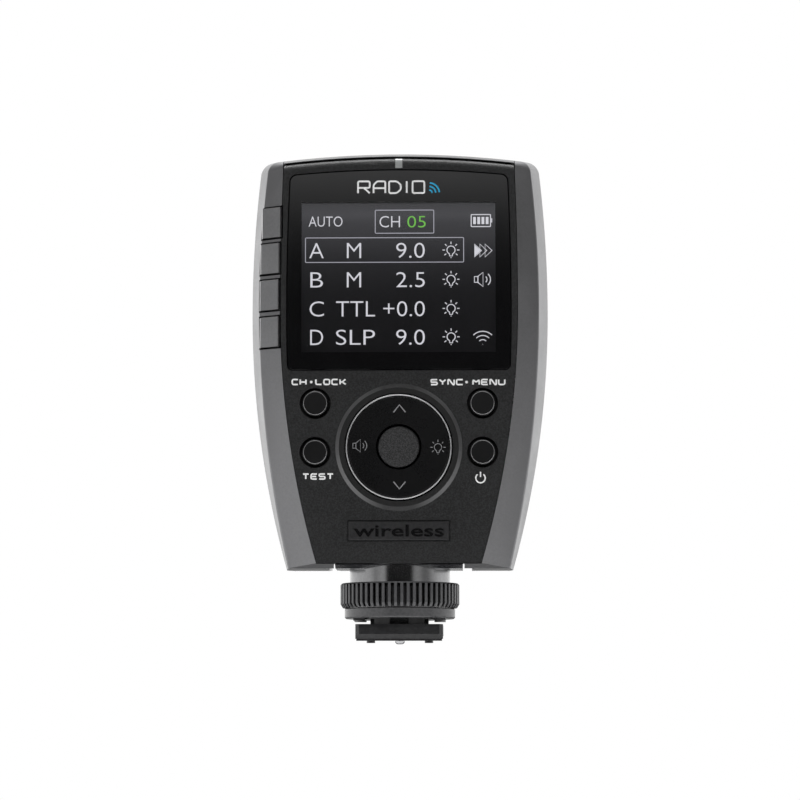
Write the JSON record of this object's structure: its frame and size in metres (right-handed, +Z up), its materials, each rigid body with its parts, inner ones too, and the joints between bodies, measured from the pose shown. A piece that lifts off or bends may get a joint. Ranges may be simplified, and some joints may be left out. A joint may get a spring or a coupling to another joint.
{
  "type": "wireless flash trigger",
  "caption": "Upright wireless flash trigger with a colour display, four-way pad, round and side buttons, and a hot-shoe foot with a knurled lock ring.",
  "frame": {"origin": "centre of the hot-shoe foot plate's underside, on the lock ring's axis", "axes": "+Z up along the lock ring's axis, -Y out of the display face towards the operator, +X to the operator's right; +Y is the way the foot slides into the shoe"},
  "size_m": [0.0628, 0.0381, 0.1043],
  "materials": {
    "cover_black": "fine matt grain",
    "shell_grey": "satin",
    "housing_black": "fine matt grain",
    "window_glass": "gloss",
    "adhesive": "matt",
    "display": "gloss",
    "tray_white": "matt",
    "badge_black": "satin",
    "light_pipe": "clear",
    "board_green": "solder mask",
    "switch_metal": "satin",
    "button_black": "satin",
    "button_grey": "satin",
    "pad_black": "satin",
    "bearing_white": "matt",
    "shield_can": "satin",
    "antenna_metal": "satin",
    "cell_wrap": "film",
    "socket_steel": "satin",
    "jack_black": "gloss",
    "neck_gloss": "gloss",
    "foot_metal": "satin black",
    "insulator_black": "matt",
    "contact_gold": "polished",
    "pin_silver": "polished",
    "spring_steel": "bright",
    "clamp_metal": "satin black",
    "washer_steel": "bright",
    "ring_metal": "satin dark grey",
    "screw_steel": "black oxide"
  },
  "bodies": {
    "housing": {"front_cover": "cover_black", "left_shell": "shell_grey", "right_shell": "shell_grey", "rear_housing": "housing_black", "display_lens": "window_glass", "lens_gasket": "adhesive", "lcd_panel": "display", "lcd_tray": "tray_white", "badge_frame": "badge_black", "status_light_pipe": "light_pipe", "main_board": "board_green", "side_switch_board": "board_green", "side_io_board": "board_green", "front_tact_switches": "switch_metal", "side_tact_switches": "switch_metal", "dpad_saddles": "bearing_white", "radio_module": "shield_can", "antenna": "antenna_metal", "buzzer": "jack_black", "battery_cell": "cell_wrap", "battery_tray": "insulator_black", "usb_c_receptacle": "socket_steel", "sync_jack": "jack_black", "neck_collar": "neck_gloss", "shoe_foot": "foot_metal", "contact_block": "insulator_black", "connector_contacts": "contact_gold", "contact_spring": "spring_steel", "case_screws": "screw_steel", "neck_screws": "screw_steel"},
    "clamp": {"clamp_plate": "clamp_metal", "friction_washer": "washer_steel"},
    "lock_ring": {"lock_ring": "ring_metal"},
    "centre_contact": {"centre_contact_pin": "pin_silver"},
    "pad_carrier": {"dpad_carrier": "bearing_white"},
    "pad": {"dpad_ring": "pad_black"},
    "select": {"button_select": "button_black"},
    "channel": {"button_channel": "button_black"},
    "test": {"button_test": "button_black"},
    "sync": {"button_sync": "button_black"},
    "power": {"button_power": "button_black"},
    "group_a": {"group_button_a": "button_grey"},
    "group_b": {"group_button_b": "button_grey"},
    "group_c": {"group_button_c": "button_grey"},
    "group_d": {"group_button_d": "button_grey"}
  },
  "joints": [
    {"name": "group_a_press", "type": "slide", "parent": "housing", "child": "group_a", "axis": [0.5505, 0.8348, 0], "range_m": [0, 0.0005], "stiffness_N_per_m": 900, "springref_m": -0.0003},
    {"name": "group_b_press", "type": "slide", "parent": "housing", "child": "group_b", "axis": [0.5505, 0.8348, 0], "range_m": [0, 0.0005], "stiffness_N_per_m": 900, "springref_m": -0.0003},
    {"name": "group_c_press", "type": "slide", "parent": "housing", "child": "group_c", "axis": [0.5505, 0.8348, 0], "range_m": [0, 0.0005], "stiffness_N_per_m": 900, "springref_m": -0.0003},
    {"name": "group_d_press", "type": "slide", "parent": "housing", "child": "group_d", "axis": [0.5505, 0.8348, 0], "range_m": [0, 0.0005], "stiffness_N_per_m": 900, "springref_m": -0.0003},
    {"name": "select_press", "type": "slide", "parent": "housing", "child": "select", "axis": [0, 1, 0], "range_m": [0, 0.0005], "stiffness_N_per_m": 900, "springref_m": -0.0003},
    {"name": "channel_press", "type": "slide", "parent": "housing", "child": "channel", "axis": [0, 1, 0], "range_m": [0, 0.0005], "stiffness_N_per_m": 900, "springref_m": -0.0003},
    {"name": "test_press", "type": "slide", "parent": "housing", "child": "test", "axis": [0, 1, 0], "range_m": [0, 0.0005], "stiffness_N_per_m": 900, "springref_m": -0.0003},
    {"name": "sync_press", "type": "slide", "parent": "housing", "child": "sync", "axis": [0, 1, 0], "range_m": [0, 0.0005], "stiffness_N_per_m": 900, "springref_m": -0.0003},
    {"name": "power_press", "type": "slide", "parent": "housing", "child": "power", "axis": [0, 1, 0], "range_m": [0, 0.0005], "stiffness_N_per_m": 900, "springref_m": -0.0003},
    {"name": "pad_up_down", "type": "hinge", "parent": "housing", "child": "pad_carrier", "pos_m": [0, -0.0072, 0.03855], "axis": [1, 0, 0], "range_deg": [-2, 2], "stiffness_Nm_per_rad": 0.3},
    {"name": "pad_left_right", "type": "hinge", "parent": "pad_carrier", "child": "pad", "pos_m": [0, -0.0072, 0.03855], "axis": [0, 0, 1], "range_deg": [-2, 2], "stiffness_Nm_per_rad": 0.3},
    {"name": "clamp_slide", "type": "slide", "parent": "housing", "child": "clamp", "axis": [0, 0, 1], "range_m": [0, 0.002]},
    {"name": "ring_turn", "type": "hinge", "parent": "clamp", "child": "lock_ring", "pos_m": [0, 0, 0.008], "axis": [0, 0, 1], "range_deg": [0, 480]},
    {"name": "contact_press", "type": "slide", "parent": "housing", "child": "centre_contact", "axis": [0, 0, 1], "range_m": [0, 0.0008], "stiffness_N_per_m": 400, "springref_m": -0.001, "deforming": ["contact_spring"]}
  ],
  "couplings": [
    {"joint": "clamp_slide", "follows": "ring_turn", "m_per_rad": 0.0002387}
  ]
}
